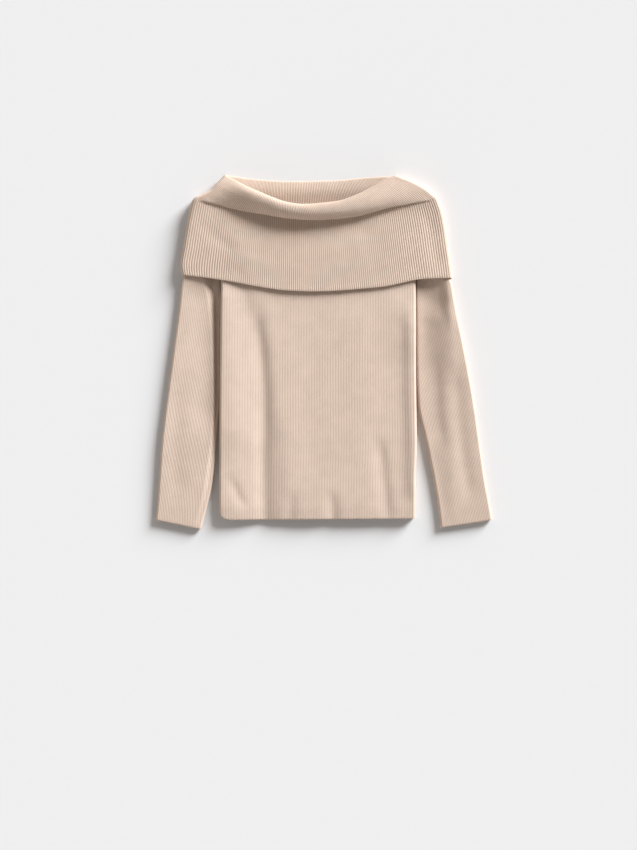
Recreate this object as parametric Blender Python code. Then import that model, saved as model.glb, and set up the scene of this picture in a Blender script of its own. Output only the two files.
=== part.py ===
"""Collared sweater, laid flat with its front up.

A ribbed knit sweater with a neck as wide as the shoulders and a deep collar turned over
outwards all round. It lies on its back on a flat surface, collar towards +Y, and the
surface is at z = 0. Left and right are as seen from above. Five cut pieces, each a closed
wall of knit cloth: front, back, two sleeves and the collar ring. Sizes are in millimetres
and become metres when a mesh is made.
"""

import math
from typing import NamedTuple

import bmesh
import bpy
from mathutils import Vector

MM = 0.001

# Cloth
WALL = 2.0
RIB_RELIEF = 0.4
SEAM_GAP = 0.3
UNDERARM_GAP = 0.7
CLOTH_COLOUR = (0.66, 0.51, 0.41, 1.0)
CLOTH_ROUGHNESS = 0.92

# Ribs that show across each piece as it lies
BODY_RIBS = 72
COLLAR_RIBS = 128
SLEEVE_RIBS = 17

# Heights above the surface, at the middle of the wall
FLOOR_LAYER = WALL / 2
COLLAR_STEP = WALL + 0.6
STEP_START = 98.0
STEP_END = 116.0
SEAM_TOP = 14.0

# Rounded sides: how far in they reach, and their share of a panel's width
BODY_SIDE = 9.5
BODY_SIDE_SHARE = 6 / 144
SLEEVE_SIDE = 5.5
SLEEVE_SIDE_SHARE = 0.12
COLLAR_SIDE = 8.0
COLLAR_SIDE_SHARE = 8 / 256

# Plain faces: half ribs on each rounded side, and half ribs from one vertex to the next
BODY_SIDE_MARKS = 6
BODY_PLAIN_STEP = 4
BACK_PLAIN_STEP = 33
COLLAR_SIDE_MARKS = 8
COLLAR_PLAIN_STEP = 8

# Body
HEM_FADE = 60.0
HEM_CORNER = 8.0
HEM_CORNER_RISE = 5.6
HEM_TILT = 2.6

# Collar
COLLAR_BULGE = 5.0
COLLAR_BUNCHING = 0.25
COLLAR_PEAK_SHARE = 0.2

# Small steps for measuring a surface: shares across, millimetres along
BODY_STEP = 0.001
SLEEVE_STEP = 0.003
COLLAR_TURN_STEP = 0.004
ALONG_STEP = 2.0


class BodyRow(NamedTuple):
    """Section across the body: its side edges, crown height and armhole cut (0 to 1)."""

    y: float
    left: float
    right: float
    crown: float
    cut: float


BODY_ROWS = (
    BodyRow(y=-302.0, left=-187.6, right=163.8, crown=14.0, cut=0.0),
    BodyRow(y=-278.0, left=-188.1, right=164.0, crown=15.6, cut=0.0),
    BodyRow(y=-230.0, left=-188.0, right=164.3, crown=16.0, cut=0.0),
    BodyRow(y=-165.0, left=-187.3, right=166.4, crown=16.0, cut=0.0),
    BodyRow(y=-90.0, left=-187.1, right=165.4, crown=16.0, cut=0.0),
    BodyRow(y=0.0, left=-186.2, right=164.5, crown=16.0, cut=0.0),
    BodyRow(y=98.0, left=-185.2, right=164.5, crown=15.6, cut=0.0),
    BodyRow(y=118.0, left=-184.6, right=164.5, crown=15.2, cut=0.0),
    BodyRow(y=138.0, left=-184.5, right=164.5, crown=14.4, cut=0.0),
    BodyRow(y=149.0, left=-182.0, right=162.0, crown=14.2, cut=0.5),
    BodyRow(y=160.0, left=-178.0, right=158.0, crown=SEAM_TOP, cut=1.0),
    BodyRow(y=176.0, left=-168.0, right=148.0, crown=SEAM_TOP, cut=1.0),
)
LAST_RIBBED_Y = 118.0


class Fold(NamedTuple):
    """Long soft fold in the front: a ridge where height is above 0, a trough below."""

    x_upper: float
    x_lower: float
    y_upper: float
    y_lower: float
    half_width: float
    height: float
    fade: float


BODY_FOLDS = (
    Fold(x_upper=-150, x_lower=-150, y_upper=150, y_lower=-330, half_width=24, height=3.0, fade=70),
    Fold(x_upper=-122, x_lower=-95, y_upper=120, y_lower=-330, half_width=13, height=-5.0, fade=110),
    Fold(x_upper=142, x_lower=146, y_upper=70, y_lower=-285, half_width=10, height=-4.2, fade=90),
    Fold(x_upper=108, x_lower=112, y_upper=-150, y_lower=-275, half_width=11, height=-1.8, fade=40),
    Fold(x_upper=30, x_lower=24, y_upper=-240, y_lower=-330, half_width=11, height=-2.0, fade=40),
    Fold(x_upper=-158, x_lower=-148, y_upper=-215, y_lower=-300, half_width=9, height=-2.4, fade=30),
)


class SleeveRow(NamedTuple):
    """Section across a sleeve: outer and inner edge, heights of its middle and inner side."""

    y: float
    outer_x: float
    inner_x: float
    inner_y: float
    crown: float
    tuck: float
    cut: float


SLEEVE_LEFT = (
    SleeveRow(y=176, outer_x=-245.0, inner_x=-168.5, inner_y=176, crown=SEAM_TOP, tuck=SEAM_TOP, cut=1),
    SleeveRow(y=160, outer_x=-247.5, inner_x=-178.6, inner_y=160, crown=SEAM_TOP, tuck=SEAM_TOP, cut=1),
    SleeveRow(y=149, outer_x=-249.0, inner_x=-184.9, inner_y=149, crown=14, tuck=14, cut=0.5),
    SleeveRow(y=138, outer_x=-251.4, inner_x=-188.0, inner_y=138, crown=13.8, tuck=13.8, cut=0),
    SleeveRow(y=118, outer_x=-256.6, inner_x=-188.2, inner_y=118, crown=13.5, tuck=11, cut=0),
    SleeveRow(y=98, outer_x=-258.3, inner_x=-188.8, inner_y=98, crown=12.5, tuck=8.5, cut=0),
    SleeveRow(y=0, outer_x=-271.0, inner_x=-189.8, inner_y=0, crown=12, tuck=7.5, cut=0),
    SleeveRow(y=-90, outer_x=-283.0, inner_x=-190.8, inner_y=-90, crown=12, tuck=7.5, cut=0),
    SleeveRow(y=-165, outer_x=-292.0, inner_x=-193.8, inner_y=-165, crown=12, tuck=8.5, cut=0),
    SleeveRow(y=-230, outer_x=-296.6, inner_x=-202.0, inner_y=-234, crown=11.5, tuck=9, cut=0),
    SleeveRow(y=-275, outer_x=-299.9, inner_x=-213.0, inner_y=-284, crown=10.5, tuck=9, cut=0),
    SleeveRow(y=-302, outer_x=-302.4, inner_x=-222.3, inner_y=-318.7, crown=9.5, tuck=9, cut=0),
)
SLEEVE_RIGHT = (
    SleeveRow(y=176, outer_x=218.0, inner_x=148.5, inner_y=176, crown=SEAM_TOP, tuck=SEAM_TOP, cut=1),
    SleeveRow(y=160, outer_x=219.5, inner_x=158.6, inner_y=160, crown=SEAM_TOP, tuck=SEAM_TOP, cut=1),
    SleeveRow(y=149, outer_x=221.8, inner_x=164.9, inner_y=149, crown=14, tuck=14, cut=0.5),
    SleeveRow(y=138, outer_x=224.4, inner_x=168.0, inner_y=138, crown=13.8, tuck=13.8, cut=0),
    SleeveRow(y=118, outer_x=231.0, inner_x=168.0, inner_y=118, crown=13.5, tuck=11, cut=0),
    SleeveRow(y=98, outer_x=233.8, inner_x=168.0, inner_y=98, crown=12.5, tuck=9, cut=0),
    SleeveRow(y=0, outer_x=253.5, inner_x=168.0, inner_y=0, crown=12, tuck=8.5, cut=0),
    SleeveRow(y=-90, outer_x=269.8, inner_x=170.6, inner_y=-90, crown=12, tuck=8.5, cut=0),
    SleeveRow(y=-165, outer_x=280.5, inner_x=186.2, inner_y=-167, crown=12, tuck=9, cut=0),
    SleeveRow(y=-230, outer_x=289.8, inner_x=199.4, inner_y=-234, crown=11.5, tuck=9, cut=0),
    SleeveRow(y=-275, outer_x=298.0, inner_x=207.6, inner_y=-284, crown=10.5, tuck=9, cut=0),
    SleeveRow(y=-302, outer_x=302.4, inner_x=211.0, inner_y=-316, crown=9.5, tuck=9, cut=0),
)
ARMHOLE_ROWS = 4
TUCK_START = 0.5
END_CLEARANCE = 3.0
SLEEVE_TOP_LINES = (0.0, 0.06, 0.12, 0.3, 0.5, 0.7, 0.88, 0.94, 1.0)
SLEEVE_UNDER_LINES = (1.06, 1.12, 1.5, 1.88, 1.94, 2.0)
SLEEVES = (("sleeve_left", SLEEVE_LEFT, 27), ("sleeve_right", SLEEVE_RIGHT, 40))
PARTING_Y = -90.0
PARTING_CLEARANCE = 0.6


class Point(NamedTuple):
    """Point of an outline, seen from above."""

    x: float
    y: float


NECK_SEAM = (Point(-245.0, 176 + SEAM_GAP), Point(218.0, 176 + SEAM_GAP))
FOLD_FRONT = (
    Point(-178, 318), Point(-148, 300), Point(-117, 286), Point(-76, 270), Point(-40, 264),
    Point(0, 267), Point(32, 272), Point(61, 283), Point(90, 298), Point(112, 311), Point(128, 316),
)
FOLD_BACK = (
    Point(-178, 318), Point(-128, 311), Point(-76, 307), Point(-23, 307), Point(32, 309),
    Point(70, 313), Point(128, 316),
)
CREASE = (
    Point(-234, 276), Point(-198, 267), Point(-148, 254), Point(-106, 247), Point(-65, 240),
    Point(-23, 237), Point(32, 240), Point(70, 246), Point(110, 257), Point(158, 267), Point(203, 276),
)
HEM_FRONT = (
    Point(-254, 140.5), Point(-185, 130), Point(-137, 121), Point(-86, 112.5), Point(-45, 109.5),
    Point(9, 109.5), Point(70, 114), Point(110, 118), Point(139, 124), Point(164, 130),
    Point(190, 132.5), Point(230, 133.3),
)
HEM_BACK = (Point(-254, 140.5), Point(-200, 122), Point(176, 122), Point(230, 133.3))


class CollarRow(NamedTuple):
    """Row round the collar, from its seam over the fold to its hem.

    The front lies a share of the way between two outlines and has a height at its middle
    and at its sides; the back has a share and one height. Ribs are raised where they show.
    """

    front_from: tuple
    front_to: tuple
    front_share: float
    front_middle: float
    front_side: float
    back_from: tuple
    back_to: tuple
    back_share: float
    back_height: float
    front_ribs: bool
    back_ribs: bool


def standing(front_share, middle, side, back_share, back_height, back_ribs):
    """Row of the standing layer, between neck seam and fold."""
    return CollarRow(NECK_SEAM, FOLD_FRONT, front_share, middle, side,
                     NECK_SEAM, FOLD_BACK, back_share, back_height, False, back_ribs)


def roll(front_share, middle, side, back_share, back_height):
    """Row of the rolled fold, between its top edge and the crease below it."""
    return CollarRow(FOLD_FRONT, CREASE, front_share, middle, side,
                     FOLD_BACK, HEM_BACK, back_share, back_height, True, False)


def fall(front_share, middle, side, back_share):
    """Row of the fall, between the crease and the free hem."""
    return CollarRow(CREASE, HEM_FRONT, front_share, middle, side,
                     FOLD_BACK, HEM_BACK, back_share, FLOOR_LAYER, True, False)


SEAM_BACK = FLOOR_LAYER + COLLAR_STEP
COLLAR_ROWS = (
    standing(0.00, SEAM_TOP, SEAM_TOP, 0.00, SEAM_BACK, False),
    standing(0.30, 15.5, 14.5, 0.30, 4.4, False),
    standing(0.64, 18.0, 15.5, 0.64, 7.0, True),
    standing(0.92, 22.5, 16.5, 0.93, 9.6, True),
    CollarRow(FOLD_FRONT, CREASE, 0.0, 29.5, 18.0, FOLD_BACK, HEM_BACK, 0.0, 6.6, True, True),
    roll(0.16, 36.0, 21.5, 0.045, 2.4),
    roll(0.62, 39.0, 25.0, 0.15, FLOOR_LAYER),
    roll(0.90, 35.5, 23.0, 0.215, FLOOR_LAYER),
    fall(0.04, 25.5, 20.0, 0.27),
    fall(0.20, 22.0, 18.4, 0.39),
    fall(0.60, 21.5, 18.0, 0.70),
    fall(1.00, 21.5, 18.0, 1.00),
)


def mix(start, end, share):
    """Value a share of the way from start to end."""
    return start + (end - start) * share


def ease(value):
    """Smooth step from 0 to 1, flat at both ends."""
    value = min(max(value, 0.0), 1.0)
    return value * value * (3.0 - 2.0 * value)


def table_row(rows, y):
    """Row of a table at a place between its rows, by straight steps along y."""
    ordered = sorted(rows, key=lambda row: row.y)
    y = min(max(y, ordered[0].y), ordered[-1].y)
    for low, high in zip(ordered, ordered[1:]):
        if y <= high.y:
            share = (y - low.y) / (high.y - low.y)
            return type(low)(*(mix(a, b, share) for a, b in zip(low, high)))
    return ordered[-1]


def outline_point(outline, fraction):
    """Point of an outline at a fraction of its width, on a smooth curve through its points."""
    x = mix(outline[0].x, outline[-1].x, fraction)
    last = len(outline) - 1
    index = max(i for i in range(last) if outline[i].x <= x or i == 0)
    low, high = outline[index], outline[index + 1]
    span = high.x - low.x

    def slope(i):
        before, after = outline[max(i - 1, 0)], outline[min(i + 1, last)]
        return (after.y - before.y) / (after.x - before.x)

    t = (x - low.x) / span
    rise = slope(index) * span, slope(index + 1) * span
    y = (low.y * (1 + 2 * t) * (1 - t) ** 2 + high.y * t * t * (3 - 2 * t)
         + rise[0] * t * (1 - t) ** 2 - rise[1] * t * t * (1 - t))
    return Vector((x, y, 0.0))


def across(fraction, width, reach, share, cut_start=0.0, cut_end=0.0):
    """Place across half of a flattened tube: distance from its start edge, and lift.

    The sides are quarter rounds that reach in by `reach` and take a `share` of the width.
    A cut of 1 removes a side's round, as along an armhole. The lift goes from 0 at the
    side's height to 1 on the flat.
    """
    start_share, end_share = share * (1 - cut_start), share * (1 - cut_end)
    start_inset = reach * math.cos(math.radians(90 * cut_start))
    end_inset = reach * math.cos(math.radians(90 * cut_end))
    if fraction < start_share:
        angle = math.radians(90 * mix(cut_start, 1, fraction / start_share))
        return start_inset - reach * math.cos(angle), math.sin(angle)
    if fraction > 1 - end_share:
        angle = math.radians(90 * mix(cut_end, 1, (1 - fraction) / end_share))
        return width - end_inset + reach * math.cos(angle), math.sin(angle)
    flat = (fraction - start_share) / (1 - start_share - end_share)
    return mix(start_inset, width - end_inset, flat), 1.0


def underside(y):
    """Rise of the back's cloth where it lies on the turned-over collar."""
    return COLLAR_STEP * ease((y - STEP_START) / (STEP_END - STEP_START))


def fold_height(x, y):
    """Height that the front's folds add at a place."""
    total = 0.0
    for fold in BODY_FOLDS:
        along = (fold.y_upper - y) / (fold.y_upper - fold.y_lower)
        centre = mix(fold.x_upper, fold.x_lower, min(max(along, 0.0), 1.0))
        window = ease((fold.y_upper - y) / fold.fade) * ease((y - fold.y_lower) / fold.fade)
        total += fold.height * window * math.exp(-((x - centre) / fold.half_width) ** 2)
    return total


def hem_shift(x, y, row):
    """How far the cloth near the hem moves up: a tilt to the right and round corners."""
    near = ease((BODY_ROWS[0].y + HEM_FADE - y) / HEM_FADE)
    width = row.right - row.left
    from_side = min(max(min(x - row.left, row.right - x) / HEM_CORNER, 0.0), 1.0)
    corner = HEM_CORNER_RISE * (1 - math.sqrt(1 - (1 - from_side) ** 2))
    return near * (HEM_TILT * (x - row.left) / width + corner)


def body_point(fraction, y, front):
    """Middle of the body's wall: front or back, fraction of the width, height up the body."""
    row = table_row(BODY_ROWS, y)
    width = row.right - row.left
    inset, lift = across(fraction, width, BODY_SIDE, BODY_SIDE_SHARE, row.cut, row.cut)
    x = row.left + inset
    under = underside(y) + FLOOR_LAYER
    crown = row.crown + fold_height(x, y)
    side = (under + crown) / 2
    end = crown if front else under
    split = SEAM_GAP / 2 * (1 - lift) * (1 if front else -1)
    return Vector((x, y + hem_shift(x, y, row), mix(side, end, lift) + split))


def sleeve_point(rows, around, y):
    """Middle of a sleeve's wall: 0 to 1 over the top from inner to outer edge, 2 back under."""
    row = table_row(rows, y)
    top = around <= 1.0
    fraction = around if top else 2.0 - around
    inner = Vector((row.inner_x, row.inner_y, 0.0))
    outer = Vector((row.outer_x, row.y, 0.0))
    width = (outer - inner).length
    inset, lift = across(fraction, width, SLEEVE_SIDE, SLEEVE_SIDE_SHARE, row.cut, 0.0)
    point = inner + (outer - inner) * (inset / width)
    under = underside(y) + FLOOR_LAYER
    crown = mix(row.tuck, row.crown, ease(fraction / TUCK_START))
    side = (under + (row.tuck if fraction < 0.5 else row.crown)) / 2
    end = crown if top else under
    parting = UNDERARM_GAP / 2 if fraction < 0.5 else 0.0
    split = parting * (1 - lift) * (1 if top else -1)
    point.z = mix(side, end, lift) + split
    return point


def bunched(fraction):
    """Fraction along the fold, where the ribs draw together towards both ends."""
    signed = 2 * fraction - 1
    drawn = signed * (1 + COLLAR_BUNCHING * (1 - abs(signed)))
    return (drawn + 1) / 2


def collar_line(outline, fraction):
    """Point of one of the collar's outlines, on the folds with drawn-together ribs."""
    folded = outline is FOLD_FRONT or outline is FOLD_BACK
    return outline_point(outline, bunched(fraction) if folded else fraction)


def collar_point(row, fraction, front):
    """Middle of the collar's wall on one row: front or back, fraction of the width."""
    start = collar_line(row.front_from, 0.0).lerp(collar_line(row.front_to, 0.0), row.front_share)
    end = collar_line(row.front_from, 1.0).lerp(collar_line(row.front_to, 1.0), row.front_share)
    if row.front_to is HEM_FRONT:
        bulge = COLLAR_BULGE * math.sin(math.pi * row.front_share)
        start.x -= bulge
        end.x += bulge
    inset, lift = across(fraction, end.x - start.x, COLLAR_SIDE, COLLAR_SIDE_SHARE)
    if front:
        line = collar_line(row.front_from, fraction).lerp(
            collar_line(row.front_to, fraction), row.front_share)
        hump = 1 - abs(2 * fraction - 1) ** 3
        height = mix(row.front_side, row.front_middle, hump)
    else:
        line = collar_line(row.back_from, fraction).lerp(
            collar_line(row.back_to, fraction), row.back_share)
        height = row.back_height
    edge = start if fraction < 0.5 else end
    x = start.x + inset
    if lift == 1.0:
        x = mix(x, line.x, ease(min(fraction, 1 - fraction) / COLLAR_PEAK_SHARE))
    side = (row.front_side + row.back_height) / 2
    return Vector((x, mix(edge.y, line.y, lift), mix(side, height, lift)))


class Stitch(NamedTuple):
    """Vertex of a line of the wall: its place along the line, its rib number, its index."""

    place: float
    rib: float
    index: int


class Wall:
    """Closed wall of cloth, built from lines of vertices zipped to each other."""

    def __init__(self):
        self.points = []
        self.faces = []

    def add(self, point, place, rib=0.0):
        """Add a vertex in millimetres and return its stitch."""
        self.points.append(point * MM)
        return Stitch(place, rib, len(self.points) - 1)

    def zip_lines(self, first, second, key="place"):
        """Join two lines of vertices with triangles, in the order of their keys."""
        keys = [[getattr(stitch, key) for stitch in line] for line in (first, second)]
        i, j = 0, 0
        while i < len(first) - 1 or j < len(second) - 1:
            second_done = j == len(second) - 1
            if second_done or (i < len(first) - 1 and keys[0][i + 1] <= keys[1][j + 1]):
                self.faces.append((first[i].index, first[i + 1].index, second[j].index))
                i += 1
            else:
                self.faces.append((first[i].index, second[j + 1].index, second[j].index))
                j += 1

    def make(self, name):
        """Make the named object, faces outward, with its own cloth material."""
        mesh = bpy.data.meshes.new(name)
        mesh.from_pydata(self.points, [], self.faces)
        work = bmesh.new()
        work.from_mesh(mesh)
        bmesh.ops.recalc_face_normals(work, faces=work.faces)
        work.to_mesh(mesh)
        work.free()
        mesh.shade_smooth()
        mesh.set_sharp_from_angle(angle=math.radians(40))
        made = bpy.data.objects.new(name, mesh)
        bpy.context.scene.collection.objects.link(made)
        mesh.materials.append(cloth(name))
        return made


def cloth(name):
    """Material of one piece: matt beige knit."""
    material = bpy.data.materials.new(f"{name}_knit")
    material.use_nodes = True
    shader = material.node_tree.nodes["Principled BSDF"]
    shader.inputs["Base Color"].default_value = CLOTH_COLOUR
    shader.inputs["Roughness"].default_value = CLOTH_ROUGHNESS
    shader.inputs["Metallic"].default_value = 0.0
    return material


def face_normal(point_at, across_at, along_at, step_across, step_along):
    """Normal of a surface from small steps, positive for across turned to along."""
    before, after = across_at - step_across, across_at + step_across
    below, above = along_at - step_along, along_at + step_along
    side = point_at(after, along_at) - point_at(before, along_at)
    up = point_at(across_at, above) - point_at(across_at, below)
    return side.cross(up).normalized()


def rib_offset(number):
    """Distance of the outer face from the wall's middle at half rib `number`, highest if even."""
    return WALL / 2 + RIB_RELIEF * (2 * abs(number % 2 - 1) - 1)


def plain_marks(half_ribs, side, step):
    """Half ribs where a plain face has vertices: every second round a side, then each step."""
    rounds = list(range(0, side, 2))
    flat = list(range(side, half_ribs - side + 1, step))
    return rounds + flat + [half_ribs - mark for mark in reversed(rounds)]


def under_crests(half_ribs):
    """Half ribs on a hem's plain side: one under each rib, so that the edge closes cleanly."""
    return list(range(0, half_ribs + 1, 2))


def squared(normal):
    """Normal turned square to the garment's length, for an edge that meets a seam."""
    return Vector((normal.x, 0.0, normal.z)).normalized()


def clamped(point_at, low, high):
    """The surface function with its first argument held between two values."""
    return lambda a, b: point_at(min(max(a, low), high), b)


def make_body_front():
    """Front panel: ribs raised on the outer face, a plain inner face."""
    wall = Wall()
    surface = clamped(lambda f, y: body_point(f, y, True), 0.0, 1.0)
    half_ribs = 2 * BODY_RIBS
    plain = plain_marks(half_ribs, BODY_SIDE_MARKS, BODY_PLAIN_STEP)
    outer, inner = [], []
    for row in BODY_ROWS:
        ribbed = row.y <= LAST_RIBBED_Y
        under = under_crests(half_ribs) if row is BODY_ROWS[0] else plain
        for faces, marks in ((outer, range(half_ribs + 1) if ribbed else plain), (inner, under)):
            line = []
            for mark in marks:
                f = mark / half_ribs
                normal = squared(face_normal(surface, f, row.y, BODY_STEP, ALONG_STEP))
                raised = rib_offset(mark) if ribbed else WALL / 2
                offset = raised if faces is outer else -WALL / 2
                line.append(wall.add(surface(f, row.y) + normal * offset, f))
            faces.append(line)
    close_sheet(wall, outer, inner)
    return wall.make("body_front")


def make_body_back():
    """Back panel: plain, flat where it rests, its sides rounding up to the side seams."""
    wall = Wall()
    surface = clamped(lambda f, y: body_point(f, y, False), 0.0, 1.0)
    half_ribs = 2 * BODY_RIBS
    marks = plain_marks(half_ribs, BODY_SIDE_MARKS, BACK_PLAIN_STEP)
    fractions = [mark / half_ribs for mark in marks]
    outer, inner = [], []
    for row in BODY_ROWS:
        normals = [squared(face_normal(surface, f, row.y, BODY_STEP, ALONG_STEP)) for f in fractions]
        for lines, offset in ((outer, -WALL / 2), (inner, WALL / 2)):
            lines.append([
                wall.add(surface(f, row.y) + normal * offset, f)
                for f, normal in zip(fractions, normals)
            ])
    close_sheet(wall, outer, inner)
    return wall.make("body_back")


def close_sheet(wall, outer, inner, ribbed_lines=0, plain_rows=1):
    """Zip a sheet's outer and inner lines and its four edges into one closed wall."""
    for number, (first, second) in enumerate(zip(outer, outer[1:])):
        if number < ribbed_lines:
            wall.zip_lines(first[:plain_rows], second[:plain_rows])
            wall.zip_lines(first[plain_rows - 1:], second[plain_rows - 1:], "rib")
        else:
            wall.zip_lines(first, second)
    for first, second in zip(inner, inner[1:]):
        wall.zip_lines(first, second)
    wall.zip_lines(outer[0], inner[0])
    wall.zip_lines(outer[-1], inner[-1])
    for end in (0, -1):
        edges = [
            [Stitch(number, 0.0, line[end].index) for number, line in enumerate(lines)]
            for lines in (outer, inner)
        ]
        wall.zip_lines(*edges)


def make_sleeve(name, rows, twist, top, bottom):
    """Length of a sleeve: the panel rolled flat, its ribs slanting across the top, ends open."""
    wall = Wall()
    surface = clamped(lambda a, y: sleeve_point(rows, a, y), 0.0, 2.0)
    start, length = rows[0].y, rows[0].y - rows[-1].y
    facing = -1 if rows[0].outer_x < rows[0].inner_x else 1
    levels = [top] + [row.y for row in rows if top > row.y > bottom] + [bottom]
    plain_rows = ARMHOLE_ROWS if top == start else 1
    armpit = levels[plain_rows - 1]
    top_clearance = END_CLEARANCE if top == start else PARTING_CLEARANCE
    bottom_clearance = END_CLEARANCE if bottom == rows[-1].y else PARTING_CLEARANCE

    def normal(a, y):
        return squared(face_normal(surface, a, y, SLEEVE_STEP, ALONG_STEP) * facing)

    def rib_at(a, y):
        return 2 * SLEEVE_RIBS * a + 2 * twist * (start - y) / length

    def stitch(a, y, offset, rib=0.0):
        return wall.add(surface(a, y) + normal(a, y) * offset, (start - y) / length, rib)

    def edge(a, y):
        parted = abs(y - PARTING_Y) < SEAM_GAP and a > 0
        rib = rib_at(a, y)
        return stitch(a, y, rib_offset(rib) if parted else WALL / 2, rib)

    outer, inner = [], []
    for a in SLEEVE_TOP_LINES:
        line = [edge(a, y) for y in levels[:plain_rows]]
        for k in range(math.ceil(rib_at(a, armpit)), math.floor(rib_at(a, bottom)) + 1):
            y = start - (k - rib_at(a, start)) / (2 * twist) * length
            if armpit - top_clearance > y > bottom + bottom_clearance:
                line.append(stitch(a, y, rib_offset(k) if a > 0 else WALL / 2, k))
        line.append(edge(a, bottom))
        outer.append(line)
    for a in SLEEVE_UNDER_LINES:
        outer.append([stitch(a, y, WALL / 2) for y in levels])
    for a in SLEEVE_TOP_LINES + SLEEVE_UNDER_LINES:
        inner.append([stitch(a, y, -WALL / 2) for y in levels])
    close_sheet(wall, outer, inner, len(SLEEVE_TOP_LINES) - 1, plain_rows)
    return wall.make(name)


def collar_ring(index, turn):
    """Point on a collar row at a turn round the ring: 0 to 1 front, 1 to 2 back."""
    row = COLLAR_ROWS[index]
    turn %= 2.0
    return collar_point(row, turn, True) if turn <= 1.0 else collar_point(row, 2.0 - turn, False)


def collar_normal(index, turn):
    """Normal of the face that shows: into the neck below the fold, outwards beyond it."""
    last = len(COLLAR_ROWS) - 1
    along = collar_ring(min(index + 1, last), turn) - collar_ring(max(index - 1, 0), turn)
    around = collar_ring(index, turn + COLLAR_TURN_STEP) - collar_ring(index, turn - COLLAR_TURN_STEP)
    normal = along.cross(around).normalized()
    return squared(normal) if index == 0 else normal


def collar_turns(row, plain):
    """Turns round a row where vertices lie: every half rib where ribs show, else few."""
    half_ribs = 2 * COLLAR_RIBS
    fine = [k / half_ribs for k in range(half_ribs)]
    front = fine if row.front_ribs else plain[:-1]
    back = fine if row.back_ribs else plain[:-1]
    return list(front), [1.0 + turn for turn in back]


def make_collar():
    """Collar ring: up from the neck seam, over the fold and down to its free hem."""
    wall = Wall()
    half_ribs = 2 * COLLAR_RIBS
    plain = [mark / half_ribs for mark in plain_marks(half_ribs, COLLAR_SIDE_MARKS, COLLAR_PLAIN_STEP)]
    outer, inner = [], []
    for index, row in enumerate(COLLAR_ROWS):
        front, back = collar_turns(row, plain)
        line = []
        for turns, ribbed in ((front, row.front_ribs), (back, row.back_ribs)):
            for turn in turns:
                mark = round(turn * half_ribs)
                on_flat = COLLAR_SIDE_MARKS < mark % half_ribs < half_ribs - COLLAR_SIDE_MARKS
                offset = rib_offset(mark) if ribbed and on_flat else WALL / 2
                point = collar_ring(index, turn) + collar_normal(index, turn) * offset
                line.append(wall.add(point, turn))
        line.append(Stitch(2.0, 0.0, line[0].index))
        outer.append(line)
        hem = row is COLLAR_ROWS[-1]
        under = [mark / half_ribs for mark in under_crests(half_ribs)] if hem else plain
        turns = under[:-1] + [1.0 + turn for turn in plain[:-1]]
        line = [
            wall.add(collar_ring(index, turn) - collar_normal(index, turn) * WALL / 2, turn)
            for turn in turns
        ]
        line.append(Stitch(2.0, 0.0, line[0].index))
        inner.append(line)
    for lines in (outer, inner):
        for first, second in zip(lines, lines[1:]):
            wall.zip_lines(first, second)
    wall.zip_lines(outer[0], inner[0])
    wall.zip_lines(outer[-1], inner[-1])
    return wall.make("collar")


def main():
    """Clear the scene and build the five pieces, each sleeve in two lengths."""
    for stale in list(bpy.data.objects):
        bpy.data.objects.remove(stale, do_unlink=True)
    make_body_front()
    make_body_back()
    for name, rows, twist in SLEEVES:
        make_sleeve(name, rows, twist, rows[0].y, PARTING_Y + SEAM_GAP / 2)
        make_sleeve(f"{name}_forearm", rows, twist, PARTING_Y - SEAM_GAP / 2, rows[-1].y)
    make_collar()


main()
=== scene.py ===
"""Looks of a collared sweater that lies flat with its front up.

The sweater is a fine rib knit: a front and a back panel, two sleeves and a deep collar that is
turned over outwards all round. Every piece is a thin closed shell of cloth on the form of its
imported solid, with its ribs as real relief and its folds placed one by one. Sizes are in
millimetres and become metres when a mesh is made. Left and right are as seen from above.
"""

from __future__ import annotations

import logging
import math
from dataclasses import dataclass
from enum import Enum
from typing import NamedTuple, Sequence

import bmesh
import bpy
import numpy as np
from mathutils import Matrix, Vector

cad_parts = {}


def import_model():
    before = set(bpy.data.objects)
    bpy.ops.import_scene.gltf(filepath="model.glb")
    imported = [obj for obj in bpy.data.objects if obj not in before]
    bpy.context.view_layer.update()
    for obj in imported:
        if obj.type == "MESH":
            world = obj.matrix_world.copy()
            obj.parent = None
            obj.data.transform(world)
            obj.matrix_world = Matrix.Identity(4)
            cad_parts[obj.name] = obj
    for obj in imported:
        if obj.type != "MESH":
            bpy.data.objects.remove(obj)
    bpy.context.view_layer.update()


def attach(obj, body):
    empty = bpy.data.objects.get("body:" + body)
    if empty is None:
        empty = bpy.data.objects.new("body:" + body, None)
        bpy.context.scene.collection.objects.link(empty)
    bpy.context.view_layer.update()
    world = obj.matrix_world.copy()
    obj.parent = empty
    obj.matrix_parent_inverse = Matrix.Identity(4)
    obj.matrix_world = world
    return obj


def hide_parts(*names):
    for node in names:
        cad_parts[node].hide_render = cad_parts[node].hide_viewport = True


LOG = logging.getLogger("sweater")
MM = 0.001
KNIT_MAP = "knit"
TINY = 1e-9

# Heights and lengths that several pieces share, in millimetres.
WALL = 2.0
SEAM_GAP = 0.3
FLOOR_LAYER = WALL / 2
COLLAR_GAP = 0.6
COLLAR_STEP = WALL + COLLAR_GAP
STEP_START = 98.0
STEP_END = 116.0
SEAM_TOP = 14.0
STITCH_LENGTH = 1.9

Array = np.ndarray
Colour = tuple[float, float, float]
Socket = bpy.types.NodeSocket


class Side(Enum):
    """Side of the garment, as seen from above."""

    LEFT = "sleeve_left"
    RIGHT = "sleeve_right"


class Panel(Enum):
    """Panel of the body."""

    FRONT = "body_front"
    BACK = "body_back"


def ease(value: Array) -> Array:
    """Smooth step from 0 to 1, flat at both ends.

    Args:
        value: Places along the step, any number.

    Returns:
        Values from 0 to 1.
    """
    held = np.clip(value, 0.0, 1.0)
    return held * held * (3.0 - 2.0 * held)


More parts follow.
